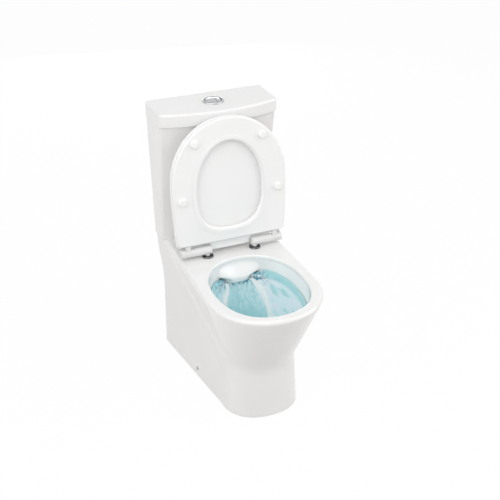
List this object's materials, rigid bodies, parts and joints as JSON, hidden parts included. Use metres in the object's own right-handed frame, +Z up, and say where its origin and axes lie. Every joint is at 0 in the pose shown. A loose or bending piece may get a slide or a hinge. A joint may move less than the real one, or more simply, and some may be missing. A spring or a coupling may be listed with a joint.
{
  "type": "close-coupled toilet",
  "caption": "White close-coupled floor-standing toilet with cistern, dual-flush button, rimless bowl and a hinged ring and lid.",
  "frame": {"origin": "on the floor, under the middle of the overall box", "axes": "+Z up, +Y towards the wall behind, -Y towards the front of the bowl, +X to the right seen from the front"},
  "size_m": [0.372, 0.6301, 0.8435],
  "materials": {
    "china": "gloss glaze",
    "seat_plastic": "gloss",
    "bumper": "satin",
    "chrome": "polished",
    "steel": "zinc plated",
    "valve_plastic": "moulded",
    "nut_plastic": "moulded",
    "rubber": "matte"
  },
  "bodies": {
    "toilet_body": {"pan": "china", "pan_bowl": "china", "pan_trap_way": "china", "pan_flush_way": "china", "cistern": "china", "cistern_lid": "china", "coupling_gasket": "rubber", "cistern_bolts": "steel", "cistern_bolt_seals": "rubber", "cistern_bolt_washers": "steel", "cistern_wing_nuts": "nut_plastic", "flush_valve_base": "valve_plastic", "flush_valve_washer": "rubber", "flush_valve_nut": "nut_plastic", "flush_valve_tower": "valve_plastic", "flush_valve_head": "valve_plastic", "fill_valve_body": "valve_plastic", "fill_valve_washer": "rubber", "fill_valve_nut": "nut_plastic", "fill_valve_head": "valve_plastic", "fill_valve_cap": "valve_plastic", "float_pin": "steel", "button_bezel": "chrome", "button_nut": "nut_plastic", "hinge_pins": "steel", "hinge_posts": "seat_plastic", "hinge_rosettes": "chrome", "soft_close_barrels": "seat_plastic", "hinge_studs": "steel", "hinge_washers": "nut_plastic", "hinge_nuts": "nut_plastic", "floor_brackets": "nut_plastic", "side_screws": "steel"},
    "lid": {"seat_lid": "seat_plastic", "lid_bumpers": "bumper", "lid_knuckles": "seat_plastic"},
    "seat_ring_body": {"seat_ring": "seat_plastic", "seat_bumpers": "bumper", "seat_knuckles": "seat_plastic"},
    "full_button": {"full_flush_button": "chrome", "full_push_rod": "valve_plastic"},
    "half_button": {"half_flush_button": "chrome", "half_push_rod": "valve_plastic"},
    "piston": {"overflow_piston": "valve_plastic", "piston_seal": "rubber"},
    "float_body": {"float_arm": "valve_plastic", "float": "valve_plastic"}
  },
  "joints": [
    {"name": "lid_hinge", "type": "hinge", "parent": "toilet_body", "child": "lid", "pos_m": [0, 0.101, 0.422], "axis": [-1, 0, 0], "range_deg": [-94.91, 0]},
    {"name": "seat_hinge", "type": "hinge", "parent": "lid", "child": "seat_ring_body", "pos_m": [0, 0.101, 0.422], "axis": [1, 0, 0], "range_deg": [0, 94.91]},
    {"name": "full_button_press", "type": "slide", "parent": "toilet_body", "child": "full_button", "axis": [0, 0, -1], "range_m": [0, 0.008], "stiffness_N_per_m": 400, "springref_m": -0.006},
    {"name": "half_button_press", "type": "slide", "parent": "toilet_body", "child": "half_button", "axis": [0, 0, -1], "range_m": [0, 0.008], "stiffness_N_per_m": 400, "springref_m": -0.006},
    {"name": "piston_lift", "type": "slide", "parent": "toilet_body", "child": "piston", "axis": [0, 0, 1], "range_m": [0, 0.012]},
    {"name": "float_rise", "type": "hinge", "parent": "toilet_body", "child": "float_body", "pos_m": [0.0937, 0.268, 0.699], "axis": [0, 1, 0], "range_deg": [0, 20]}
  ],
  "couplings": [
    {"joint": "piston_lift", "follows": "full_button_press", "ratio": 1.5}
  ]
}
